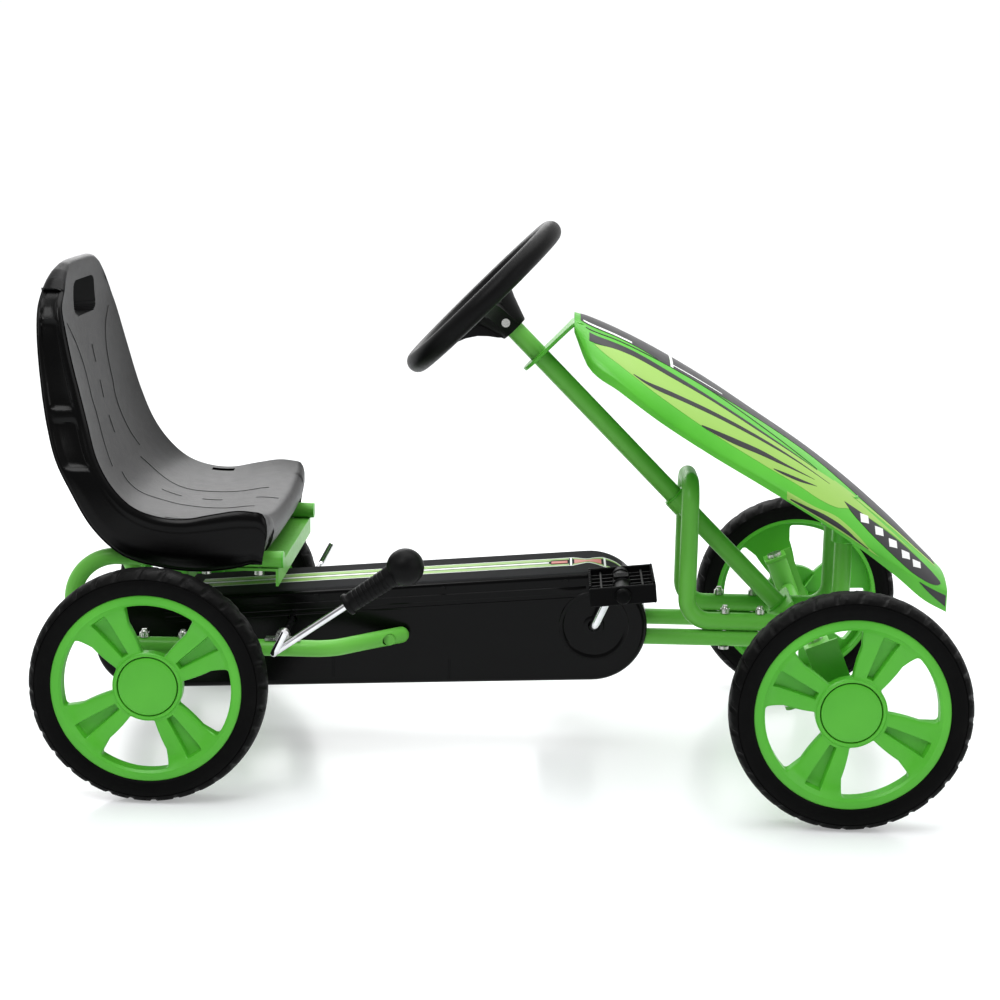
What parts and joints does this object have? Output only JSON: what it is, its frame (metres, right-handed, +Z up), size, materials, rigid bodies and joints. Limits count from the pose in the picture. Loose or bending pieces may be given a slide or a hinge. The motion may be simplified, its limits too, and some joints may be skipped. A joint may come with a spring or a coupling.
{
  "type": "pedal go kart",
  "caption": "Child's four-wheeled pedal go kart with bucket seat, steering wheel, crowned front panel, chain drive in a closed guard and hand brake.",
  "frame": {"origin": "on the ground, midway between the axles and on the centre line", "axes": "+X forward, +Y to the driver's left, +Z up"},
  "size_m": [1.0342, 0.6064, 0.6246],
  "materials": {
    "green_paint": "gloss powder coat",
    "green_plastic": "smooth moulded",
    "guard_plastic": "gloss black",
    "seat_plastic": "fine grained satin",
    "black_plastic": "satin",
    "tyre_rubber": "moulded tread",
    "zinc_steel": "zinc plated",
    "chrome": "bright plated",
    "dark_steel": "blackened",
    "bush_plastic": "smooth"
  },
  "bodies": {
    "chassis": {"rail_right": "green_paint", "rail_left": "green_paint", "front_beam": "green_paint", "crank_hangers": "green_paint", "crank_bushes": "bush_plastic", "steering_hoop": "green_paint", "hoop_fasteners": "zinc_steel", "column_plate": "green_paint", "column_bushes": "bush_plastic", "side_tube_right": "green_paint", "side_tube_left": "green_paint", "tube_plugs": "green_plastic", "side_tube_bolts": "zinc_steel", "axle_bearings": "green_paint", "axle_bearing_bolts": "zinc_steel", "seat_bracket": "green_paint", "seat_fasteners": "zinc_steel", "seat": "seat_plastic", "drive_chain": "dark_steel", "guard_cover": "guard_plastic", "guard_trough": "guard_plastic", "guard_screws": "zinc_steel", "brake_clips": "zinc_steel", "front_panel": "green_plastic", "panel_screws": "zinc_steel"},
    "steering": {"steering_wheel": "black_plastic", "steering_column": "green_paint", "column_bolt": "zinc_steel", "pitman_arm": "green_paint"},
    "tie_rod_right": {"tie_rod_right": "zinc_steel"},
    "tie_rod_left": {"tie_rod_left": "zinc_steel"},
    "knuckle_right": {"knuckle_right": "green_paint", "kingpin_right": "zinc_steel", "front_axle_nut_right": "zinc_steel"},
    "knuckle_left": {"knuckle_left": "green_paint", "kingpin_left": "zinc_steel", "front_axle_nut_left": "zinc_steel"},
    "front_wheel_right": {"front_tyre_right": "tyre_rubber", "front_rim_right": "green_plastic", "front_hub_cap_right": "green_plastic"},
    "front_wheel_left": {"front_tyre_left": "tyre_rubber", "front_rim_left": "green_plastic", "front_hub_cap_left": "green_plastic"},
    "rear_axle": {"rear_axle": "zinc_steel", "axle_spacers": "zinc_steel", "rear_sprocket": "dark_steel", "rear_axle_nuts": "zinc_steel", "rear_tyre_left": "tyre_rubber", "rear_rim_left": "green_plastic", "rear_hub_cap_left": "green_plastic"},
    "rear_wheel_right": {"rear_tyre_right": "tyre_rubber", "rear_rim_right": "green_plastic", "rear_hub_cap_right": "green_plastic"},
    "crank": {"crank": "chrome", "crank_sprocket": "dark_steel", "pedal_nuts": "zinc_steel"},
    "pedal_right": {"pedal_right": "black_plastic"},
    "pedal_left": {"pedal_left": "black_plastic"},
    "brake": {"brake_bar": "chrome", "brake_grip": "black_plastic"}
  },
  "joints": [
    {"name": "steering_turn", "type": "hinge", "parent": "chassis", "child": "steering", "pos_m": [-0.0284, 0, 0.5368], "axis": [-0.7071, 0, 0.7071], "range_deg": [-30, 30]},
    {"name": "tie_rod_right_pivot", "type": "hinge", "parent": "steering", "child": "tie_rod_right", "pos_m": [0.32232, 0, 0.12951], "axis": [-0.7071, 0, 0.7071], "range_deg": [-30, 30]},
    {"name": "tie_rod_left_pivot", "type": "hinge", "parent": "steering", "child": "tie_rod_left", "pos_m": [0.32727, 0, 0.12456], "axis": [-0.7071, 0, 0.7071], "range_deg": [-30, 30]},
    {"name": "knuckle_right_turn", "type": "hinge", "parent": "chassis", "child": "knuckle_right", "pos_m": [0.3568, -0.222, 0.163], "axis": [-0.3746, 0, 0.9272], "range_deg": [-25, 25]},
    {"name": "knuckle_left_turn", "type": "hinge", "parent": "chassis", "child": "knuckle_left", "pos_m": [0.3568, 0.222, 0.163], "axis": [-0.3746, 0, 0.9272], "range_deg": [-25, 25]},
    {"name": "front_wheel_right_spin", "type": "hinge", "parent": "knuckle_right", "child": "front_wheel_right", "pos_m": [0.3791, -0.2808, 0.13], "axis": [0, 1, 0], "continuous": true},
    {"name": "front_wheel_left_spin", "type": "hinge", "parent": "knuckle_left", "child": "front_wheel_left", "pos_m": [0.3791, 0.2808, 0.13], "axis": [0, 1, 0], "continuous": true},
    {"name": "rear_axle_spin", "type": "hinge", "parent": "chassis", "child": "rear_axle", "pos_m": [-0.3791, 0, 0.13], "axis": [0, 1, 0], "continuous": true},
    {"name": "rear_wheel_right_spin", "type": "hinge", "parent": "rear_axle", "child": "rear_wheel_right", "pos_m": [-0.3791, -0.2433, 0.13], "axis": [0, 1, 0], "continuous": true},
    {"name": "crank_spin", "type": "hinge", "parent": "chassis", "child": "crank", "pos_m": [0.108, 0, 0.165], "axis": [0, 1, 0], "continuous": true},
    {"name": "pedal_right_spin", "type": "hinge", "parent": "crank", "child": "pedal_right", "pos_m": [0.13601, -0.152, 0.23295], "axis": [0, 1, 0], "continuous": true},
    {"name": "pedal_left_spin", "type": "hinge", "parent": "crank", "child": "pedal_left", "pos_m": [0.07999, 0.152, 0.09705], "axis": [0, 1, 0], "continuous": true},
    {"name": "brake_lever_pull", "type": "hinge", "parent": "chassis", "child": "brake", "pos_m": [-0.244, 0, 0.165], "axis": [0, -1, 0], "range_deg": [0, 40]}
  ],
  "couplings": [
    {"joint": "tie_rod_right_pivot", "follows": "steering_turn", "ratio": -1},
    {"joint": "tie_rod_left_pivot", "follows": "steering_turn", "ratio": -1},
    {"joint": "knuckle_right_turn", "follows": "steering_turn", "ratio": 0.833},
    {"joint": "knuckle_left_turn", "follows": "steering_turn", "ratio": 0.833},
    {"joint": "crank_spin", "follows": "rear_axle_spin", "ratio": 0.66667}
  ]
}
